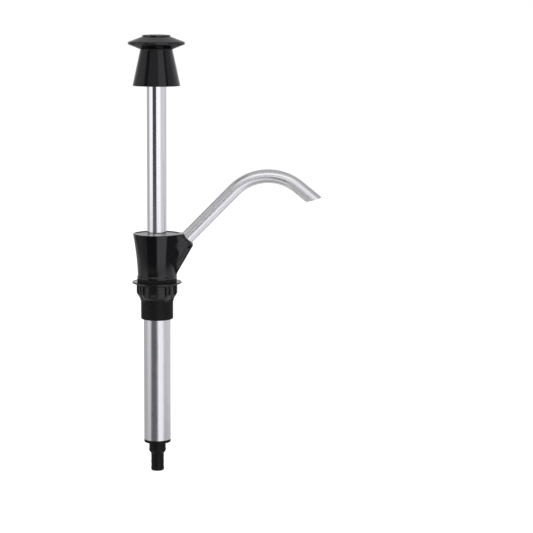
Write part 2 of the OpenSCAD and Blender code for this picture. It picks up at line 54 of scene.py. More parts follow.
# Half the angle between two runs, in radians, past which a corner counts as straight
straightHalfGap = 1.56


# A closed outline of straight runs whose corners are replaced by arcs that touch both runs.
# Each corner is (across, up, rounding). The arc starts rounding * tan(half the turn) before the
# corner, and its middle is rounding / cos(half the turn) from the corner, on the inner side.
def roundedOutline(corners, steps=6, spacing=None):
    places = np.array([corner[:2] for corner in corners], dtype=float)
    points = []
    for number, corner in enumerate(corners):
        here = places[number]
        before = places[number - 1] - here
        after = places[(number + 1) % len(corners)] - here
        before /= np.linalg.norm(before)
        after /= np.linalg.norm(after)
        rounding = corner[2]
        halfGap = math.acos(max(-1.0, min(1.0, float(before @ after)))) / 2
        if rounding <= 0 or halfGap > straightHalfGap:
            points.append(here[None])
            continue
        inward = before + after
        inward /= np.linalg.norm(inward)
        middle = here + inward * rounding / math.sin(halfGap)
        start = here + before * rounding / math.tan(halfGap) - middle
        stop = here + after * rounding / math.tan(halfGap) - middle
        startTurn = math.atan2(start[1], start[0])
        sweep = (math.atan2(stop[1], stop[0]) - startTurn + math.pi) % (2 * math.pi) - math.pi
        points.append(arcPoints(middle, rounding, startTurn, startTurn + sweep, steps))
    outline = np.concatenate(points)
    return outline if spacing is None else withSpacing(outline, spacing)


# Adds points along the long runs of a closed outline, so that none is longer than the spacing.
def withSpacing(outline, spacing):
    runs = []
    for here, there in zip(outline, np.roll(outline, -1, axis=0)):
        count = max(1, math.ceil(np.linalg.norm(there - here) / spacing))
        share = np.arange(count)[:, None] / count
        runs.append(here + (there - here) * share)
    return np.concatenate(runs)


# The four corners of each quad of a grid that closes around itself, numbered row by row
def gridQuads(around, along, closedAlong):
    index = np.arange(around * along).reshape(around, along)
    wrapped = np.concatenate([index, index[:1]])
    if closedAlong:
        wrapped = np.concatenate([wrapped, wrapped[:, :1]], axis=1)
    return np.stack(
        [wrapped[:-1, :-1], wrapped[1:, :-1], wrapped[1:, 1:], wrapped[:-1, 1:]], axis=-1).reshape(-1, 4)


# A mesh over a grid of points[around, along], in millimetres. Each quad's normal is
# (step around) x (step along). A pole closes an open edge with a fan.
def gridMesh(name, points, closedAlong=False, poles=(None, None), normals=None):
    around, along = points.shape[:2]
    index = np.arange(around * along).reshape(around, along)
    quads = gridQuads(around, along, closedAlong)
    vertices = points.reshape(-1, 3)
    fans = []
    for number, (pole, column) in enumerate(zip(poles, (0, along - 1))):
        if pole is None:
            continue
        tip = np.full(around, len(vertices))
        vertices = np.concatenate([vertices, np.array([pole], dtype=float)])
        here, there = index[:, column], np.roll(index[:, column], -1)
        fans.append(np.stack([tip, there, here] if number == 0 else [tip, here, there], axis=1))
    if normals is None:
        normals = vertexNormals(vertices, quads, fans)
    faces = quads.tolist() + [face for fan in fans for face in fan.tolist()]
    return finishedMesh(name, vertices, faces, normals)


# A vertex's normal is the sum of its faces' area vectors, each the cross product of two
# diagonals or edges, so broad faces stay flat beside narrow roundings
def vertexNormals(vertices, quads, fans=()):
    normals = np.zeros_like(vertices)
    firstDiagonal = vertices[quads[:, 2]] - vertices[quads[:, 0]]
    secondDiagonal = vertices[quads[:, 3]] - vertices[quads[:, 1]]
    across = np.cross(firstDiagonal, secondDiagonal)
    for corner in range(4):
        np.add.at(normals, quads[:, corner], across)
    for fan in fans:
        tip = vertices[fan[:, 0]]
        across = np.cross(vertices[fan[:, 1]] - tip, vertices[fan[:, 2]] - tip)
        for corner in range(3):
            np.add.at(normals, fan[:, corner], across)
    return normals / np.maximum(np.linalg.norm(normals, axis=1, keepdims=True), 1e-12)


# A Blender mesh from millimetres, shaded by the given normals, one a vertex
def finishedMesh(name, vertices, faces, normals):
    mesh = bpy.data.meshes.new(name)
    mesh.from_pydata((vertices * mm).tolist(), [], faces)
    mesh.update()
    mesh.shade_smooth()
    mesh.normals_split_custom_set_from_vertices(normals.tolist())
    return mesh


# Turns an outline of (radius, height) about the z axis: (radius cos turn, radius sin turn, height).
def revolve(outline, segments):
    turn = 2 * math.pi * np.arange(segments) / segments
    radius, height = outline[:, 0], outline[:, 1]
    return np.stack([
        np.cos(turn)[:, None] * radius,
        np.sin(turn)[:, None] * radius,
        np.broadcast_to(height, (segments, len(height)))], axis=-1)


# A closed turned piece from the corners of its section
def turnedMesh(name, corners, segments, steps=6, spacing=None):
    return gridMesh(name, revolve(roundedOutline(corners, steps, spacing), segments), closedAlong=True)


# Rises smoothly from 0 at low to 1 at high: t * t * (3 - 2 t).
def softStep(value, low, high):
    share = np.clip((value - low) / (high - low), 0, 1)
    return share * share * (3 - 2 * share)


# The lower of two fields, less size / 4 at most where they are alike.
def softLower(first, second, size):
    near = np.maximum(size - np.abs(first - second), 0) / size
    return np.minimum(first, second) - near * near * size / 4


# The higher of two fields, plus size / 4 at most where they are alike.
def softHigher(first, second, size):
    return -softLower(-first, -second, size)


# One object for a mesh, with its material, body and the CAD node it stands for. The material slot's name is
# not used.
def addPiece(name, mesh, material, slotName, body, *nodes):
    mesh.materials.append(material)
    piece = bpy.data.objects.new(name, mesh)
    bpy.context.scene.collection.objects.link(piece)
    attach(piece, body)
    if nodes:
        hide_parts(*nodes)
    print("piece", name, len(mesh.vertices), "vertices")
    return piece


# Materials

# A small graph builder: adds a node, sets its named inputs and links what is given as a socket.
def addNode(tree, kind, inputs=None, **settings):
    node = tree.nodes.new(kind)
    for key, value in settings.items():
        setattr(node, key, value)
    for key, value in (inputs or {}).items():
        socket = node.inputs[key]
        if isinstance(value, bpy.types.NodeSocket):
            tree.links.new(value, socket)
        else:
            socket.default_value = value
    return node


# A material, its graph and its Principled shader
def newMaterial(name):
    material = bpy.data.materials.new(name)
    material.use_nodes = True
    tree = material.node_tree
    return material, tree, tree.nodes["Principled BSDF"]


# Where a noise's values mostly lie
noiseRange = (0.35, 0.7)


# Roughness from the look's value up to value + spread, as the noise goes through its range
def roughnessFrom(tree, noise, look):
    return addNode(tree, "ShaderNodeMapRange", {
        "Value": noise.outputs["Fac"], "From Min": noiseRange[0], "From Max": noiseRange[1],
        "To Min": look["roughness"], "To Max": look["roughness"] + look["roughSpread"]})


# Moulded plastic: base colour, roughness that varies by a soft noise, and two bumps, one broad
# and shallow for sink and flow, one fine for the skin of the moulding.
def mouldedPlastic(name, look):
    material, tree, surface = newMaterial(name)
    place = addNode(tree, "ShaderNodeTexCoord").outputs["Object"]
    broad = addNode(tree, "ShaderNodeTexNoise", {"Vector": place, "Scale": look["broadScale"], "Detail": 1.0})
    fine = addNode(tree, "ShaderNodeTexNoise", {"Vector": place, "Scale": look["fineScale"], "Detail": 2.0})
    wear = addNode(tree, "ShaderNodeTexNoise", {"Vector": place, "Scale": look["wearScale"], "Detail": 4.0})
    rough = roughnessFrom(tree, wear, look)
    first = addNode(tree, "ShaderNodeBump", {
        "Height": broad.outputs["Fac"], "Distance": look["broadDepth"] * mm, "Strength": 1.0})
    second = addNode(tree, "ShaderNodeBump", {
        "Height": fine.outputs["Fac"], "Distance": look["fineDepth"] * mm, "Strength": 1.0,
        "Normal": first.outputs["Normal"]})
    surface.inputs["Base Color"].default_value = (*look["colour"], 1)
    surface.inputs["IOR"].default_value = look["ior"]
    tree.links.new(rough.outputs["Result"], surface.inputs["Roughness"])
    tree.links.new(second.outputs["Normal"], surface.inputs["Normal"])
    return material


# Drawn metal tube: fine lines along the tube from a noise that is stretched along it, a broad
# shallow wave, and cloudy roughness. The place is the object's own coordinates, or the
# attribute (around, around, along) of a bent tube.
def drawnMetal(name, look, attribute=None):
    material, tree, surface = newMaterial(name)
    if attribute:
        place = addNode(tree, "ShaderNodeAttribute", attribute_name=attribute).outputs["Vector"]
    else:
        place = addNode(tree, "ShaderNodeTexCoord").outputs["Object"]
    stretched = addNode(tree, "ShaderNodeMapping", {"Vector": place, "Scale": (1.0, 1.0, look["stretch"])})
    lines = addNode(tree, "ShaderNodeTexNoise", {
        "Vector": stretched.outputs["Vector"], "Scale": look["lineScale"], "Detail": 3.0})
    wave = addNode(tree, "ShaderNodeTexNoise", {"Vector": place, "Scale": look["waveScale"], "Detail": 1.0})
    cloud = addNode(tree, "ShaderNodeTexNoise", {"Vector": place, "Scale": look["cloudScale"], "Detail": 3.0})
    rough = roughnessFrom(tree, cloud, look)
    first = addNode(tree, "ShaderNodeBump", {
        "Height": wave.outputs["Fac"], "Distance": look["waveDepth"] * mm, "Strength": 1.0})
    second = addNode(tree, "ShaderNodeBump", {
        "Height": lines.outputs["Fac"], "Distance": look["lineDepth"] * mm, "Strength": 1.0,
        "Normal": first.outputs["Normal"]})
    surface.inputs["Base Color"].default_value = (*look["colour"], 1)
    surface.inputs["Metallic"].default_value = 1.0
    roughness, normal = rough.outputs["Result"], second.outputs["Normal"]
    if "grain" in look:
        roughness, normal = grainedEnd(tree, look["grain"], place, roughness, normal)
    tree.links.new(roughness, surface.inputs["Roughness"])
    tree.links.new(normal, surface.inputs["Normal"])
    return material


# The blasted underside of the spout's end: where the place along the tube is past the start and
# the place across it is below the edge, roughness rises and a fine grain is added to the bump.
def grainedEnd(tree, grain, place, roughness, normal):
    parts = addNode(tree, "ShaderNodeSeparateXYZ", {0: place})
    past = addNode(tree, "ShaderNodeMapRange", {
        "Value": parts.outputs["Z"],
        "From Min": grain["start"] * mm, "From Max": (grain["start"] + grain["fade"]) * mm})
    under = addNode(tree, "ShaderNodeMapRange", {
        "Value": parts.outputs["X"],
        "From Min": grain["edge"] * mm, "From Max": (grain["edge"] - grain["soft"]) * mm})
    mask = addNode(tree, "ShaderNodeMath", {
        0: past.outputs["Result"], 1: under.outputs["Result"]}, operation="MULTIPLY").outputs[0]
    speck = addNode(tree, "ShaderNodeTexNoise", {"Vector": place, "Scale": grain["scale"], "Detail": 3.0})
    bump = addNode(tree, "ShaderNodeBump", {
        "Height": speck.outputs["Fac"], "Distance": grain["depth"] * mm, "Strength": mask, "Normal": normal})
    rise = addNode(tree, "ShaderNodeMath", {0: mask, 1: grain["rough"]}, operation="MULTIPLY")
    higher = addNode(tree, "ShaderNodeMath", {0: roughness, 1: rise.outputs[0]}, operation="ADD")
    return higher.outputs[0], bump.outputs["Normal"]


glossLook = dict(
    colour=(0.004, 0.004, 0.0045), roughness=0.08, roughSpread=0.05, ior=1.5,
    broadScale=90.0, broadDepth=0.02, fineScale=900.0, fineDepth=0.0015, wearScale=160.0)
satinLook = dict(
    colour=(0.005, 0.005, 0.0055), roughness=0.38, roughSpread=0.12, ior=1.26,
    broadScale=120.0, broadDepth=0.02, fineScale=1500.0, fineDepth=0.006, wearScale=220.0)
rubberLook = dict(
    colour=(0.004, 0.004, 0.004), roughness=0.75, roughSpread=0.15, ior=1.45,
    broadScale=120.0, broadDepth=0.02, fineScale=1800.0, fineDepth=0.02, wearScale=300.0)
whiteLook = dict(
    colour=(0.72, 0.72, 0.69), roughness=0.32, roughSpread=0.1, ior=1.48,
    broadScale=110.0, broadDepth=0.01, fineScale=1400.0, fineDepth=0.004, wearScale=220.0)
rodLook = dict(
    colour=(0.86, 0.86, 0.88), roughness=0.1, roughSpread=0.04, stretch=0.02, lineScale=2200.0,
    lineDepth=0.0006, waveScale=130.0, waveDepth=0.012, cloudScale=160.0)
spoutLook = dict(
    colour=(0.87, 0.87, 0.88), roughness=0.25, roughSpread=0.06, stretch=0.02, lineScale=2000.0,
    lineDepth=0.0007, waveScale=110.0, waveDepth=0.012, cloudScale=140.0,
    grain=dict(start=138.0, fade=12.0, edge=0.9, soft=0.6, scale=1100.0, depth=0.5, rough=0.06))
barrelLook = dict(
    colour=(0.84, 0.84, 0.86), roughness=0.17, roughSpread=0.05, stretch=0.015, lineScale=2000.0,
    lineDepth=0.001, waveScale=60.0, waveDepth=0.006, cloudScale=120.0)
steelLook = dict(
    colour=(0.62, 0.63, 0.65), roughness=0.2, roughSpread=0.08, stretch=1.0, lineScale=900.0,
    lineDepth=0.0006, waveScale=200.0, waveDepth=0.002, cloudScale=300.0)

materials = dict(
    gloss_black=mouldedPlastic("gloss black plastic", glossLook),
    satin_black=mouldedPlastic("satin black plastic", satinLook),
    rubber=mouldedPlastic("black rubber", rubberLook),
    white_plastic=mouldedPlastic("natural acetal", whiteLook),
    polished_tube=drawnMetal("polished rod", rodLook),
    spout_tube=drawnMetal("polished spout", spoutLook, attribute="tubePlace"),
    barrel_tube=drawnMetal("satin polished barrel", barrelLook),
    steel=drawnMetal("stainless steel", steelLook))
print("materials made")

# The CAD nodes that stay take the materials of their slots.
for row in frame["record"]["subparts"]:
    node = frame["nodes"][row["node"]]
    for holder in node.material_slots:
        holder.material = materials[row["material_slot"]]


# Knob: the skirt, the two cones of the grip disc and the hub inside it
knobSizes = dict(
    base=165.176, skirtR=20.05, skirtHeight=30.3, neckR=13.45, skirtWall=1.8, rimRound=0.45, neckRound=0.7,
    discR=23.83, edgeHeight=35.5, edgeRound=1.15, edgeShare=0.9, flatHeight=41.0, capSeat=39.2, capHole=11.82,
    hubR=10.45, socketR=8.15, hubLow=13.1, hubTop=28.8, screwR=2.55, headFloor=33.8, headR=5.1,
    ribs=6, ribWidth=1.4, ribLow=11.1, ribIn=9.6, ribSunk=0.4, segments=224)


# One outline of (radius, height above the base), up the skirt and over the disc, down through the
# cap's seat and the screw's hole, and out round the hub to the inside of the skirt
def knobBody(size):
    edge = size["edgeRound"]
    halfEdge = size["edgeShare"] * edge
    wall = size["skirtWall"]
    slope = (size["skirtR"] - size["neckR"]) / size["skirtHeight"]
    innerTop = size["neckR"] - wall + slope * (size["skirtHeight"] - size["hubTop"])
    corners = [
        (size["skirtR"], 0, size["rimRound"]), (size["neckR"], size["skirtHeight"], size["neckRound"]),
        (size["discR"], size["edgeHeight"] - halfEdge, edge),
        (size["discR"], size["edgeHeight"] + halfEdge, edge),
        (size["capHole"], size["flatHeight"], 0.3), (size["capHole"], size["capSeat"], 0.1),
        (size["headR"], size["capSeat"], 0.2), (size["headR"], size["headFloor"], 0.2),
        (size["screwR"], size["headFloor"], 0.1), (size["screwR"], size["hubTop"], 0.1),
        (size["socketR"], size["hubTop"], 0.2), (size["socketR"], size["hubLow"], 0.2),
        (size["hubR"], size["hubLow"], 0.3), (size["hubR"], size["hubTop"], 0.2),
        (innerTop, size["hubTop"], 0.3), (size["skirtR"] - wall, 0, size["rimRound"])]
    outline = roundedOutline(corners, 7, 2.0)
    outline[:, 1] += size["base"]
    shell = gridMesh("knob body", revolve(outline, size["segments"]), closedAlong=True)
    addRibs(shell, size, slope)
    return shell


# The hub's ribs, each a plate of four-cornered section that ends in the middle of the skirt's wall
def addRibs(shell, size, slope):
    middle = size["skirtWall"] / 2
    outer = [size["skirtR"] - slope * up - middle for up in (size["ribLow"], size["hubTop"])]
    ribTop = size["hubTop"] + size["ribSunk"]
    plate = np.array([
        [size["ribIn"], size["ribLow"]], [outer[0], size["ribLow"]],
        [outer[1], ribTop], [size["ribIn"], ribTop]])
    half = size["ribWidth"] / 2
    faces = np.array([[3, 2, 1, 0], [4, 5, 6, 7], [0, 1, 5, 4], [1, 2, 6, 5], [2, 3, 7, 6], [3, 0, 4, 7]])
    vertices, allFaces = [], []
    for number in range(size["ribs"]):
        turn = 2 * math.pi * number / size["ribs"]
        for side in (half, -half):
            vertices.append(np.stack([
                plate[:, 0] * math.cos(turn) - side * math.sin(turn),
                plate[:, 0] * math.sin(turn) + side * math.cos(turn),
                plate[:, 1] + size["base"]], axis=1))
        allFaces.append(faces + 8 * number)
    ribs = bpy.data.meshes.new("knob ribs")
    ribs.from_pydata((np.concatenate(vertices) * mm).tolist(), [], np.concatenate(allFaces).tolist())
    join(shell, ribs)


# The corner numbers of a mesh of quads, its places and its corners' normals, as arrays
def quadMeshArrays(mesh):
    corners = np.zeros(len(mesh.loops), dtype=np.int32)
    mesh.loops.foreach_get("vertex_index", corners)
    places = np.zeros(len(mesh.vertices) * 3)
    mesh.vertices.foreach_get("co", places)
    normals = np.zeros(len(mesh.loops) * 3)
    mesh.corner_normals.foreach_get("vector", normals)
    return corners.reshape(-1, 4), places.reshape(-1, 3), normals.reshape(-1, 3)


# Adds a second mesh's closed shells to a first mesh and keeps both meshes' normals. Both are
# made of quads.
def join(mesh, other):
    other.update()
    quads, places, normals = quadMeshArrays(mesh)
    moreQuads, morePlaces, moreNormals = quadMeshArrays(other)
    faces = np.concatenate([quads, moreQuads + len(places)])
    mesh.clear_geometry()
    mesh.from_pydata(np.concatenate([places, morePlaces]).tolist(), [], faces.tolist())
    mesh.update()
    mesh.shade_smooth()
    mesh.normals_split_custom_set(np.concatenate([normals, moreNormals]).tolist())
    bpy.data.meshes.remove(other)


addPiece("knobBody", knobBody(knobSizes), materials["gloss_black"], "gloss_black", "plunger", "knob")

# Knob's cap: a rim, a crown of one arc and the stem in the screw's pocket
capSizes = dict(
    low=37.6, seat=39.2, rimTop=42.2, top=42.9, capR=11.7, stemR=4.98, edgeRound=0.35, poleR=0.4,
    crownPoints=14, segments=160)


# The crown's arc has the radius (capR ** 2 + rise ** 2) / (2 rise), with its middle on the axis
def knobCap(size):
    rise = size["top"] - size["rimTop"]
    crownR = (size["capR"] ** 2 + rise ** 2) / (2 * rise)
    across = np.linspace(size["capR"] - size["edgeRound"], size["poleR"], size["crownPoints"])
    crown = [(float(r), float(size["top"] - crownR + math.sqrt(crownR ** 2 - r ** 2)), 0) for r in across]
    corners = [
        (size["poleR"], size["low"], 0),
        (size["stemR"], size["low"], 0.2), (size["stemR"], size["seat"], 0.1),
        (size["capR"], size["seat"], 0.2), (size["capR"], size["rimTop"] + 0.02, size["edgeRound"])] + crown
    outline = roundedOutline(corners, 5)
    outline[:, 1] += knobSizes["base"]
    poles = ((0, 0, size["low"] + knobSizes["base"]), (0, 0, size["top"] + knobSizes["base"]))
    return gridMesh("knob cap", revolve(outline, size["segments"]), poles=poles)


addPiece("knobCap", knobCap(capSizes), materials["gloss_black"], "gloss_black", "plunger", "knob_cap")

# Pump head: one moulding from the spigot's threaded end to the dished rim
headSizes = dict(
    spigotLow=-32.0, spigotR=13.75, spigotBore=11.45, barrelStop=1.7, chamberR=9.36,
    pitch=2.0, threadDepth=0.16, threadPower=1.5, threadLow=(0.8, 2.2), threadHigh=(4.5, 3.5),
    seat=2.5, flangeR=16.75, flangeTop=4.4, waistR=16.3, waistZ=5.5,
    rimZ=40.976, rimR=20.25, flarePower=1.6, rimRound=0.45,
    axisZ=11.5, rise=math.radians(45.6), bossR=8.4, bossEnd=36.489, chamfer=1.6,
    gussetNose=15.85, gussetHalf=4.5, gussetLow=5.1, gussetHigh=30.5, blendLow=2.0, blendHigh=7.0,
    blendFrom=9.0, blendTo=24.0,
    dishInner=19.15, dishEdgeR=18.5, dishEdgeZ=40.42, plateR=8.4, plateZ=40.3, plateLow=39.6,
    bushSeatR=12.75, bushSeatZ=38.076, glandR=10.55, glandLow=29.276,
    endRound=1.2, chamferBlend=0.5, faceBlend=0.3, gussetBlend=0.8, gussetTopSlope=8, gussetTopBlend=0.6,
    leastRadius=6.0, mostRadius=46.0, halvings=34, closeR=30, footGap=0.25, footRise=3.2, footRows=18,
    segments=272, spigotRows=126, wallRows=120, crowding=0.72)


# The head's plain radius at a height: flange, waist, then waist + flare * share ** power
def bodyRadius(height, size):
    share = np.clip((height - size["waistZ"]) / (size["rimZ"] - size["waistZ"]), 0, 1)
    flare = size["waistR"] + (size["rimR"] - size["waistR"]) * share ** size["flarePower"]
    onFlange = 1 - softStep(height, size["flangeTop"], size["waistZ"])
    return flare + (size["flangeR"] - size["waistR"]) * onFlange


# Below zero inside the head: the turned body, the boss on the spout's axis with its end plane
# and chamfer, and the gusset, a rounded bar whose nose runs from the waist to the boss.
def headField(x, y, z, size):
    body = np.hypot(x, y) - bodyRadius(z, size)
    sine, cosine = math.sin(size["rise"]), math.cos(size["rise"])
    along = x * cosine + (z - size["axisZ"]) * sine
    off = -x * sine + (z - size["axisZ"]) * cosine
    side = np.hypot(off, y) - size["bossR"]
    end = along - size["bossEnd"]
    chamfer = (side + end + size["chamfer"]) / math.sqrt(2)
    boss = softHigher(softHigher(side, end, size["faceBlend"]), chamfer, size["chamferBlend"])
    boss = np.maximum(boss, -along)
    share = (z - size["gussetLow"]) / (size["gussetHigh"] - size["gussetLow"])
    inside = np.clip(share, 0, 1)
    cornerX = size["bossEnd"] - size["chamfer"]
    noseEnd = cornerX * cosine + size["bossR"] * sine
    nose = size["gussetNose"] + (noseEnd - size["gussetNose"]) * inside
    half = size["gussetHalf"] + (size["bossR"] - size["gussetHalf"]) * inside
    gusset = np.hypot(np.maximum(x - nose + half, 0), y) - half
    gusset = softHigher(gusset, (share - 1) * size["gussetTopSlope"], size["gussetTopBlend"])
    added = softLower(boss, np.maximum(gusset, -x), size["gussetBlend"])
    climb = softStep(z, size["blendFrom"], size["blendTo"])
    blend = size["blendLow"] + (size["blendHigh"] - size["blendLow"]) * climb
    return softLower(body, added, blend)


# The radius at which the field is zero, found by halving between a point inside and one outside
def headRadius(turn, height, size):
    inner = np.full(turn.shape, size["leastRadius"])
    outer = np.full(turn.shape, size["mostRadius"])
    for step in range(size["halvings"]):
        middle = (inner + outer) / 2
        outside = headField(middle * np.cos(turn), middle * np.sin(turn), height, size) > 0
        outer = np.where(outside, middle, outer)
        inner = np.where(outside, inner, middle)
    return (inner + outer) / 2


# The field's gradient by differences, which is the surface's normal
def headNormals(x, y, z, size, reach=0.02):
    parts = []
    for way in np.eye(3) * reach:
        after = headField(x + way[0], y + way[1], z + way[2], size)
        before = headField(x - way[0], y - way[1], z - way[2], size)
        parts.append(after - before)
    normals = np.stack(parts, axis=-1)
    return normals / np.linalg.norm(normals, axis=-1, keepdims=True)


# The spigot's thread: a helix of rounded ridges that fades at both ends, spigotR - depth * groove,
# where groove = (1/2 - 1/2 cos(2 pi (height / pitch - turn / 2 pi))) ** power
def threadRadius(turn, height, size):
    phase = height / size["pitch"] - turn / (2 * math.pi)
    groove = (0.5 - 0.5 * np.cos(2 * math.pi * phase)) ** size["threadPower"]
    starts = softStep(height, *(size["spigotLow"] + up for up in size["threadLow"]))
    ends = 1 - softStep(height, *(size["seat"] - down for down in size["threadHigh"]))
    return size["spigotR"] - size["threadDepth"] * groove * starts * ends


# The section goes up the spigot, out under the flange, up the wall of the field's radius, over
# the rim, and down through dish, bush seat, gland and chamber. Its lines crowd towards the boss:
# turn = even share - crowding * sin(even share).
def headMoulding(size):
    even = 2 * math.pi * np.arange(size["segments"]) / size["segments"]
    around = even - size["crowding"] * np.sin(even)
    low = size["spigotLow"]
    endRound = arcPoints(
        (size["spigotR"] - size["endRound"], low + size["endRound"]), size["endRound"], -math.pi / 2, 0, 6)
    bottom = np.concatenate([[[size["spigotBore"] + 0.4, low]], endRound])
    spigotZ = np.linspace(low + size["endRound"] + 0.2, size["seat"] - 0.05, size["spigotRows"])
    underFlange = np.array([[size["spigotR"], size["seat"]], [size["flangeR"] - 0.3, size["seat"]]])
    wallLow = size["seat"] + size["footGap"]
    wallZ = wallLow + np.concatenate([
        np.linspace(0, size["footRise"], size["footRows"], endpoint=False),
        np.linspace(size["footRise"], size["rimZ"] - size["rimRound"] - wallLow, size["wallRows"])])
    turnGrid, spigotGrid = np.meshgrid(around, spigotZ, indexing="ij")
    spigotR = threadRadius(turnGrid, spigotGrid, size)
    turnWall, wallGrid = np.meshgrid(around, wallZ, indexing="ij")
    wallR = headRadius(turnWall, wallGrid, size)
    rounding = size["rimRound"]
    lean = np.linspace(0.15, math.pi / 2, 6)
    rimR = wallR[:, -1:] - rounding * (1 - np.cos(lean))
    rimZ = size["rimZ"] - rounding + rounding * np.sin(lean)
    inner = roundedOutline([
        (size["dishInner"] + 3, size["rimZ"], 0), (size["dishInner"], size["rimZ"], 0.35),
        (size["dishEdgeR"], size["dishEdgeZ"], 0.5), (size["plateR"], size["plateZ"], 0.2),
        (size["plateR"], size["plateLow"], 0.15), (size["bushSeatR"], size["plateLow"], 0.1),
        (size["bushSeatR"], size["bushSeatZ"], 0.1), (size["glandR"], size["bushSeatZ"], 0.15),
        (size["glandR"], size["glandLow"], 0.1),
        (size["chamberR"], size["glandLow"], 0.3), (size["chamberR"], size["barrelStop"], 0.1),
        (size["spigotBore"], size["barrelStop"], 0.1), (size["spigotBore"], low, 0.4),
        (size["closeR"], low - 9, 0)], 5)[1:-1]

    def constant(outline):
        shape = (size["segments"], len(outline))
        return np.broadcast_to(outline[:, 0], shape), np.broadcast_to(outline[:, 1], shape)

    parts = [
        constant(bottom), (spigotR, spigotGrid), constant(underFlange), (wallR, wallGrid),
        (rimR, np.broadcast_to(rimZ, rimR.shape)), constant(inner)]
    radius = np.concatenate([part[0] for part in parts], axis=1)
    height = np.concatenate([part[1] for part in parts], axis=1)
    turnAll = around[:, None]
    points = np.stack([radius * np.cos(turnAll), radius * np.sin(turnAll), height], axis=-1)
    quads = gridQuads(*points.shape[:2], closedAlong=True)
    normals = vertexNormals(points.reshape(-1, 3), quads).reshape(points.shape)
    first = bottom.shape[0] + spigotZ.shape[0] + underFlange.shape[0]
    wall = slice(first + 1, first + len(wallZ))
    wallPoints = points[:, wall]
    normals[:, wall] = headNormals(wallPoints[..., 0], wallPoints[..., 1], wallPoints[..., 2], size)
    mesh = gridMesh("pump head", points, closedAlong=True, normals=normals.reshape(-1, 3))
    # The spigot below the flange is duller than the head, so its faces take the second material
    slots = np.zeros(points.shape[:2], dtype=np.int32)
    slots[:, :first] = 1
    mesh.polygons.foreach_set("material_index", slots.reshape(-1))
    return mesh


headPiece = addPiece("headMoulding", headMoulding(headSizes), materials["gloss_black"], "gloss_black",
                     "pump_body", "housing")
headPiece.data.materials.append(materials["satin_black"])

# Spout: straight, one bend, straight, with a slanted cut and a rounded lip, hollow throughout
spoutSizes = dict(
    outer=5.75, wall=1.0, axisZ=11.5, rise=math.radians(45.6), fall=math.radians(39.3), start=24.489,
    bendStart=92.589, bendR=40.7, endLength=16.5, cut=math.radians(16.3), lip=0.3, segments=96,
    straightRows=40, bendRows=96, endRows=20)


# The middle line at a distance along it, and the outward direction in the plane of the bend
def spoutLine(distance, size):
    arcLength = (size["rise"] + size["fall"]) * size["bendR"]
    lean = size["rise"] - np.clip(distance - size["bendStart"], 0, arcLength) / size["bendR"]
    ahead = np.minimum(distance, size["bendStart"])
    beyond = np.maximum(distance - size["bendStart"] - arcLength, 0)
    startX = ahead * math.cos(size["rise"])
    startZ = size["axisZ"] + ahead * math.sin(size["rise"])
    x = startX + size["bendR"] * (math.sin(size["rise"]) - np.sin(lean)) + beyond * math.cos(size["fall"])
    z = startZ - size["bendR"] * (math.cos(size["rise"]) - np.cos(lean)) - beyond * math.sin(size["fall"])
    return x, z, -np.sin(lean), np.cos(lean)


# Rings of (outer or inner radius) round the middle line, out along the tube and back inside it:
# middle + radius * (cos turn * outward, -sin turn sideways)
def spoutTube(size):
    arcLength = (size["rise"] + size["fall"]) * size["bendR"]
    bendStop = size["bendStart"] + arcLength
    before = np.concatenate([
        np.linspace(size["start"], size["bendStart"], size["straightRows"], endpoint=False),
        np.linspace(size["bendStart"], bendStop, size["bendRows"])])
    lip = size["lip"]
    endShares = np.linspace(0, 1, size["endRows"])[1:]
    inner = size["outer"] - size["wall"]
    outerLip = arcPoints((size["outer"] - lip, 0), lip, 0, math.pi / 2, 5)
    innerLip = arcPoints((inner + lip, 0), lip, math.pi / 2, math.pi, 5)
    lipPoints = np.concatenate([outerLip, innerLip])
    reach = size["endLength"] - lip
    rows = np.concatenate([before, bendStop + reach * endShares[:-1]])
    radii = np.full(len(rows), size["outer"])
    distance = np.concatenate([rows, bendStop + reach + lipPoints[:, 1], rows[::-1]])
    radius = np.concatenate([radii, lipPoints[:, 0], np.full(len(rows), inner)])
    turn = 2 * math.pi * np.arange(size["segments"]) / size["segments"]
    turnGrid, distanceGrid = np.meshgrid(turn, distance, indexing="ij")
    radiusGrid = np.broadcast_to(radius, turnGrid.shape)
    # Past the bend each line is stretched so that it ends on the cut: end + offset / tan(fall + cut)
    past = np.maximum(distanceGrid - bendStop, 0)
    longer = radiusGrid * np.cos(turnGrid) / math.tan(size["fall"] + size["cut"])
    stretched = distanceGrid + longer * past / size["endLength"]
    x, z, outX, outZ = spoutLine(stretched, size)
    off = radiusGrid * np.cos(turnGrid)
    points = np.stack([x + off * outX, -radiusGrid * np.sin(turnGrid), z + off * outZ], axis=-1)
    mesh = gridMesh("spout tube", points, closedAlong=True)
    place = np.stack([radiusGrid * np.cos(turnGrid), radiusGrid * np.sin(turnGrid), stretched], axis=-1) * mm
    layer = mesh.attributes.new("tubePlace", "FLOAT_VECTOR", "POINT")
    layer.data.foreach_set("vector", place.reshape(-1).astype(np.float32))
    return mesh


addPiece("spoutTube", spoutTube(spoutSizes), materials["spout_tube"], "spout_tube", "pump_body", "spout")

# Worktop gasket and clamp washer: plain rings with broken edges
gasketSizes = dict(inner=13.85, outer=16.75, low=0.0, high=2.5, edge=0.3, segments=160)
washerSizes = dict(inner=14.05, outer=20.95, low=-1.25, high=-0.05, edge=0.25, segments=192)


# A ring of four-cornered section with broken edges
def plainRing(name, size):
    corners = [
        (size["outer"], size["low"], size["edge"]), (size["outer"], size["high"], size["edge"]),
        (size["inner"], size["high"], size["edge"]), (size["inner"], size["low"], size["edge"])]
    return turnedMesh(name, corners, size["segments"], spacing=1.2)


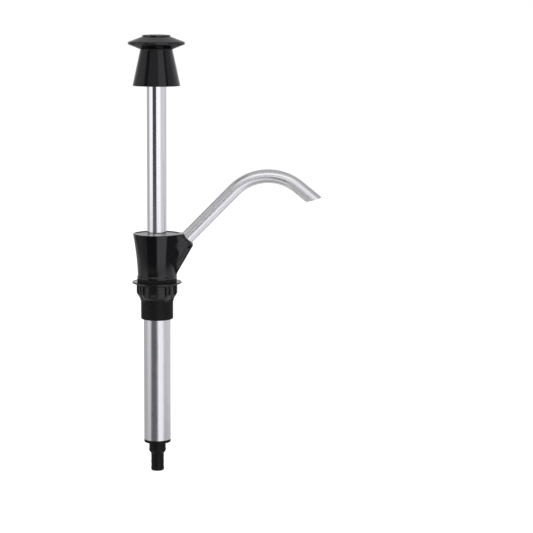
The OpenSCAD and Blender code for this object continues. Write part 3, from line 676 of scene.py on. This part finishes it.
addPiece("worktopGasket", plainRing("worktop gasket", gasketSizes), materials["rubber"], "rubber",
         "pump_body", "bench_gasket")
addPiece("clampWasher", plainRing("clamp washer", washerSizes), materials["gloss_black"], "gloss_black",
         "loose_washer", "clamp_washer")

# Clamp nut: a collar with slotted grip ribs that round in towards the spigot
nutSizes = dict(
    top=-1.3, bore=13.9, bodyR=15.4, ribR=17.3, ribs=8, firstRib=-95.6, ribHalf=2.95, ribSoft=0.3,
    collar=1.6, height=13.4, ribHeight=15.14, shoulder=7.4, rounding=3.6, ribTurn=44, endWall=0.35,
    slotHalf=0.75, slotSoft=0.2, slotDepth=1.0, stepSoft=0.25, slotEndSoft=0.3, slotTop=0.5,
    edge=0.3, edgePoints=5, boreEdge=0.2, boreRows=5, segments=864, rows=64)


# A rib's outer radius by its distance below the nut's top: straight to the shoulder, then an
# arc, then a line that comes close to the bore at the height of the panels
def ribRadius(down, size):
    turn = np.radians(np.linspace(0, size["ribTurn"], 12))
    arcDown = size["shoulder"] + size["rounding"] * np.sin(turn)
    arcR = size["ribR"] - size["rounding"] * (1 - np.cos(turn))
    return np.interp(
        down, np.concatenate([[0], arcDown, [size["height"]]]),
        np.concatenate([[size["ribR"]], arcR, [size["bore"] + size["endWall"]]]))


# Radius over (turn, share of the way down): the ribs' profile where the distance aside of a rib's
# middle is under half a rib, else the panels', with the slots cut in and the collar on top
def clampNut(size):
    turn = 2 * math.pi * np.arange(size["segments"]) / size["segments"]
    pitch = 2 * math.pi / size["ribs"]
    folded = (turn - math.radians(size["firstRib"]) + pitch / 2) % pitch - pitch / 2
    aside = np.abs(size["ribR"] * np.sin(folded))[:, None]
    onRib = 1 - softStep(aside, size["ribHalf"] - size["ribSoft"], size["ribHalf"] + size["ribSoft"])
    inSlot = 1 - softStep(aside, size["slotHalf"] - size["slotSoft"], size["slotHalf"] + size["slotSoft"])
    share = np.linspace(0, 1, size["rows"])[None, :]
    low = size["height"] + (size["ribHeight"] - size["height"]) * onRib
    down = size["edge"] + (low - 2 * size["edge"]) * share
    collar = 1 - softStep(down, size["collar"] - size["stepSoft"], size["collar"] + size["stepSoft"])
    profile = ribRadius(down, size)
    panel = np.minimum(size["bodyR"], profile)
    rib = panel + (profile - panel) * onRib
    slot = softStep(down, size["collar"], size["collar"] + size["slotTop"]) * (
        1 - softStep(down, size["shoulder"] - size["slotEndSoft"], size["shoulder"] + size["slotEndSoft"]))
    rib = rib - size["slotDepth"] * inSlot * slot
    radius = np.maximum(rib, panel + (size["ribR"] - panel) * collar)
    lean = np.linspace(0, math.pi / 2, size["edgePoints"])
    topR = radius[:, :1] - (size["edge"] * (1 - np.cos(lean)))[None, 1:]
    topDown = (size["edge"] * (1 - np.sin(lean)))[None, 1:] + 0 * topR
    lowR = radius[:, -1:] - size["edge"] * (1 - np.cos(lean))[None, ::-1]
    lowDown = low - size["edge"] + size["edge"] * np.sin(lean)[None, ::-1]
    lowR, lowDown = lowR[:, :-1], lowDown[:, :-1]
    boreShare = np.linspace(0, 1, size["boreRows"])[None, :]
    boreDown = size["boreEdge"] + (low - 2 * size["boreEdge"]) * boreShare
    boreR = np.full(boreDown.shape, size["bore"])
    # Upwards outside, inwards over the top, down the bore and outwards below
    radiusAll = np.concatenate([lowR, radius[:, ::-1], topR, boreR], axis=1)
    downAll = np.concatenate([lowDown, down[:, ::-1], topDown, boreDown], axis=1)
    points = np.stack([
        radiusAll * np.cos(turn)[:, None], radiusAll * np.sin(turn)[:, None], size["top"] - downAll], axis=-1)
    return gridMesh("clamp nut", points, closedAlong=True)


addPiece("clampNut", clampNut(nutSizes), materials["gloss_black"], "gloss_black", "hand_nut", "clamp_nut")

# Hose tail: plug, rim and two hose steps outside, valve chamber, seat and inlet inside
tailSizes = dict(
    top=-126.6, plugR=10.15, rimTop=-136.1, rimR=11.4, rimLow=-138.9, rimRound=0.9,
    wideR=7.1, wideLow=-146.9, bulge=0.2, bulgeHeight=2.1, narrowTop=-148.7, narrowR=5.4, low=-163.7,
    ridge=0.22, ridgeShares=(0.46, 0.82), ridgeHeight=1.6, inletR=3.85,
    seatR=3.6, seatTop=-144.3, seatLand=3.0, chamberR=5.2, cageR=7.4, cageDepth=3.0, segments=144)


# The section goes up outside, over both hose steps and the rim, and down inside. Each slight
# ridge of the narrow step stands at its share of the step's length.
def hoseTail(size):
    length = size["narrowTop"] - size["low"]
    cageSeat = size["top"] - size["cageDepth"]
    bulgeTop = size["wideLow"] + size["bulgeHeight"]
    seatLow = size["seatTop"] - size["seatLand"]
    narrow = []
    for share in reversed(size["ridgeShares"]):
        top = size["narrowTop"] - share * length
        narrow += [
            (size["narrowR"], top - size["ridgeHeight"], 0.5),
            (size["narrowR"] + size["ridge"], top - 0.4 * size["ridgeHeight"], 0.4),
            (size["narrowR"] + size["ridge"], top, 0.2), (size["narrowR"], top + 0.25, 0.3)]
    corners = [(size["inletR"], size["low"], 0.3), (size["narrowR"], size["low"], 1.0)] + narrow + [
        (size["narrowR"] + 0.1, size["narrowTop"], 0.8),
        (size["wideR"] - size["bulge"], size["wideLow"], 0.6),
        (size["wideR"] + size["bulge"], size["wideLow"] + 0.6 * size["bulgeHeight"], 0.6),
        (size["wideR"] + size["bulge"], bulgeTop, 0.3), (size["wideR"], bulgeTop + 0.3, 0.4),
        (size["wideR"], size["rimLow"], 0.5), (size["rimR"], size["rimLow"], size["rimRound"]),
        (size["rimR"], size["rimTop"], 0.2), (size["plugR"], size["rimTop"], 0.1),
        (size["plugR"], size["top"], 0.4), (size["cageR"], size["top"], 0.2),
        (size["cageR"], cageSeat, 0.1), (size["chamberR"], cageSeat, 0.2),
        (size["chamberR"], size["seatTop"], 0.1), (size["seatR"], size["seatTop"], 0.2),
        (size["seatR"], seatLow, 0.05), (size["inletR"], seatLow, 0.05)]
    return turnedMesh("hose tail", corners, size["segments"], steps=5, spacing=1.5)


addPiece("hoseTail", hoseTail(tailSizes), materials["satin_black"], "satin_black", "pump_body", "hose_tail")


# Camera, fitted to the photograph: its place, pitch and roll, and a focal length from the scale
cameraSizes = dict(
    place=(0.09273, -1.617, 0.240), pitch=math.radians(-7.988), roll=math.radians(0.2877),
    lens=130.22, sensor=36.0, farthest=50.0)


def addCamera(size):
    data = bpy.data.cameras.new("camera")
    data.sensor_width = size["sensor"]
    data.lens = size["lens"]
    data.clip_end = size["farthest"]
    camera = bpy.data.objects.new("camera", data)
    bpy.context.scene.collection.objects.link(camera)
    level = Matrix.Rotation(math.pi / 2 + size["pitch"], 4, "X")
    tilted = level @ Matrix.Rotation(size["roll"], 4, "Z")
    camera.matrix_world = Matrix.Translation(Vector(size["place"])) @ tilted
    bpy.context.scene.camera = camera


# Floor: lit diffuse white, with enough glow for camera rays to clip to white where no shadow falls
floorSizes = dict(height=-163.72 * mm, radius=9.0, segments=96, reflectance=0.8, glow=0.55)


def addFloor(size):
    bpy.ops.mesh.primitive_circle_add(
        vertices=size["segments"], radius=size["radius"], fill_type="NGON", location=(0, 0, size["height"]))
    floor = bpy.context.object
    floor.name = "floor"
    material = bpy.data.materials.new("white floor")
    material.use_nodes = True
    tree = material.node_tree
    tree.nodes.clear()
    rays = addNode(tree, "ShaderNodeLightPath")
    white = addNode(tree, "ShaderNodeBsdfDiffuse", {"Color": (size["reflectance"],) * 3 + (1,)})
    glow = addNode(tree, "ShaderNodeEmission", {"Strength": size["glow"]})
    lit = addNode(tree, "ShaderNodeAddShader", {0: white.outputs[0], 1: glow.outputs[0]})
    clear = addNode(tree, "ShaderNodeBsdfTransparent")
    seen = addNode(tree, "ShaderNodeMixShader", {
        0: rays.outputs["Is Camera Ray"], 1: white.outputs[0], 2: lit.outputs[0]})
    last = addNode(tree, "ShaderNodeMixShader", {
        0: rays.outputs["Is Glossy Ray"], 1: seen.outputs[0], 2: clear.outputs[0]})
    output = addNode(tree, "ShaderNodeOutputMaterial")
    tree.links.new(last.outputs[0], output.inputs["Surface"])
    floor.data.materials.append(material)


# The studio that glossy surfaces see, as zones of azimuth (0 towards the camera, 90 to the
# right) and elevation in degrees: from, to, from, to, softness, red, green, blue. Each zone is
# mixed over the ones before it by its mask.
studioBase = (0.46, 0.46, 0.475)
studioZones = [
    (138, 178, 1, 24, 4, 0.8, 0.8, 0.82),
    (-178, -138, 1, 24, 4, 0.8, 0.8, 0.82),
    (-178, 178, -58, -39, 4, 0.85, 0.85, 0.86),
    (-178, 178, -88, -62, 4, 0.4, 0.4, 0.41),
    (-178, -119, 15, 34, 3, 0.4, 0.4, 0.42),
    (-117, -103, 15, 34, 3, 0.12, 0.12, 0.13),
    (-100, -66, 15, 34, 3, 0.55, 0.55, 0.57),
    (-40, 50, 27, 58, 4, 1.15, 1.15, 1.15),
    (-62, -40, 14, 25, 2.5, 0.06, 0.06, 0.07),
    (-33, 12, 15, 25, 3, 0.34, 0.34, 0.36),
    (-35, -25, 14, 20, 2, 0.16, 0.16, 0.17),
    (14, 52, 15, 32, 3, 0.85, 0.85, 0.92),
    (54, 66, 15, 34, 2, 0.08, 0.08, 0.09),
    (68, 178, 15, 30, 3, 0.42, 0.42, 0.45),
    (-93, -47, -8, 13, 3, 1.1, 1.1, 1.12),
    (-43, -1, -8, 3, 3, 0.05, 0.05, 0.055),
    (-26, -1, 5, 13, 2, 1.1, 1.1, 1.12),
    (0, 52, -8, 13, 3, 1.12, 1.12, 1.16),
    (56, 136, -8, 13, 3, 0.7, 0.7, 0.75),
    (-178, -88, -14, -8, 2, 0.48, 0.48, 0.49),
    (-84, -57, -14, -8, 3, 0.7, 0.7, 0.71),
    (-52, 10, -14, -8, 3, 0.08, 0.08, 0.085),
    (11, 63, -14, -8, 3, 1.05, 1.05, 1.09),
    (65, 178, -14, -8, 3, 0.68, 0.68, 0.71),
    (-178, -122, -36, -15, 2, 0.2, 0.2, 0.21),
    (-121, -108, -36, -15, 2, 0.08, 0.08, 0.085),
    (-104, -77, -36, -15, 3, 0.3, 0.3, 0.3),
    (-75, -56, -36, -15, 4, 0.24, 0.24, 0.24),
    (-54, 1, -36, -15, 3, 0.04, 0.04, 0.045),
    (5, 54, -36, -15, 3, 1.1, 1.08, 1.2),
    (57, 178, -36, -15, 3, 0.12, 0.12, 0.13)]
worldLight = dict(diffuse=0.62, camera=1.0)


# 1 between low and high, falling to 0 over the softness outside, as a product of two smooth steps
def bandMask(tree, value, low, high, soft):
    up = addNode(tree, "ShaderNodeMapRange", {
        "Value": value, "From Min": low - soft, "From Max": low + soft}, interpolation_type="SMOOTHSTEP")
    down = addNode(tree, "ShaderNodeMapRange", {
        "Value": value, "From Min": high - soft, "From Max": high + soft,
        "To Min": 1.0, "To Max": 0.0}, interpolation_type="SMOOTHSTEP")
    return addNode(tree, "ShaderNodeMath", {
        0: up.outputs["Result"], 1: down.outputs["Result"]}, operation="MULTIPLY").outputs[0]


# Glossy rays see the studio's zones, camera rays a white backdrop and diffuse rays a plain light
def addWorld():
    world = bpy.data.worlds.new("studio")
    bpy.context.scene.world = world
    world.use_nodes = True
    tree = world.node_tree
    tree.nodes.clear()
    way = addNode(tree, "ShaderNodeTexCoord").outputs["Generated"]
    parts = addNode(tree, "ShaderNodeSeparateXYZ", {0: way})
    towards = addNode(tree, "ShaderNodeMath", {0: parts.outputs["Y"], 1: -1.0}, operation="MULTIPLY")
    azimuth = addNode(tree, "ShaderNodeMath", {
        0: parts.outputs["X"], 1: towards.outputs[0]}, operation="ARCTAN2")
    azimuth = addNode(tree, "ShaderNodeMath", {0: azimuth.outputs[0]}, operation="DEGREES").outputs[0]
    elevation = addNode(tree, "ShaderNodeMath", {0: parts.outputs["Z"]}, operation="ARCSINE")
    elevation = addNode(tree, "ShaderNodeMath", {0: elevation.outputs[0]}, operation="DEGREES").outputs[0]
    shade = addNode(tree, "ShaderNodeRGB")
    shade.outputs[0].default_value = (*studioBase, 1)
    colour = shade.outputs[0]
    for left, right, low, high, soft, *zone in studioZones:
        mask = addNode(tree, "ShaderNodeMath", {
            0: bandMask(tree, azimuth, left, right, soft),
            1: bandMask(tree, elevation, low, high, soft)}, operation="MULTIPLY")
        mix = addNode(tree, "ShaderNodeMix", {0: mask.outputs[0]}, data_type="RGBA")
        # A Mix node of colours has its sockets A and B at 6 and 7, and its result at 2
        tree.links.new(colour, mix.inputs[6])
        mix.inputs[7].default_value = (*zone, 1)
        colour = mix.outputs[2]
    studio = addNode(tree, "ShaderNodeBackground", {"Color": colour, "Strength": 1.0})
    plain = addNode(tree, "ShaderNodeBackground", {"Strength": worldLight["diffuse"]})
    backdrop = addNode(tree, "ShaderNodeBackground", {"Strength": worldLight["camera"]})
    for node in (plain, backdrop):
        node.inputs["Color"].default_value = (1, 1, 1, 1)
    rays = addNode(tree, "ShaderNodeLightPath")
    lit = addNode(tree, "ShaderNodeMixShader", {
        0: rays.outputs["Is Glossy Ray"], 1: plain.outputs[0], 2: studio.outputs[0]})
    seen = addNode(tree, "ShaderNodeMixShader", {
        0: rays.outputs["Is Camera Ray"], 1: lit.outputs[0], 2: backdrop.outputs[0]})
    output = addNode(tree, "ShaderNodeOutputWorld")
    tree.links.new(seen.outputs[0], output.inputs["Surface"])


# Soft lamps for the diffuse light and the shadow, hidden from glossy rays, which see the studio
lampSizes = [
    dict(place=(-0.9, -1.2, 1.2), target=(0, 0, 0), size=0.9, power=14.0),
    dict(place=(1.1, -0.7, 1.3), target=(0, 0, 0), size=0.9, power=11.0)]


def addLamp(number, size):
    data = bpy.data.lights.new("lamp %d" % number, "AREA")
    data.size = size["size"]
    data.energy = size["power"]
    lamp = bpy.data.objects.new("lamp %d" % number, data)
    bpy.context.scene.collection.objects.link(lamp)
    lamp.location = size["place"]
    aim = Vector(size["target"]) - Vector(size["place"])
    lamp.rotation_euler = aim.to_track_quat("-Z", "Y").to_euler()
    lamp.visible_glossy = False


addCamera(cameraSizes)
addFloor(floorSizes)
addWorld()
for number, size in enumerate(lampSizes):
    addLamp(number, size)
bpy.context.scene.view_settings.view_transform = "Standard"
print("camera, floor and light made")

bpy.context.view_layer.update()
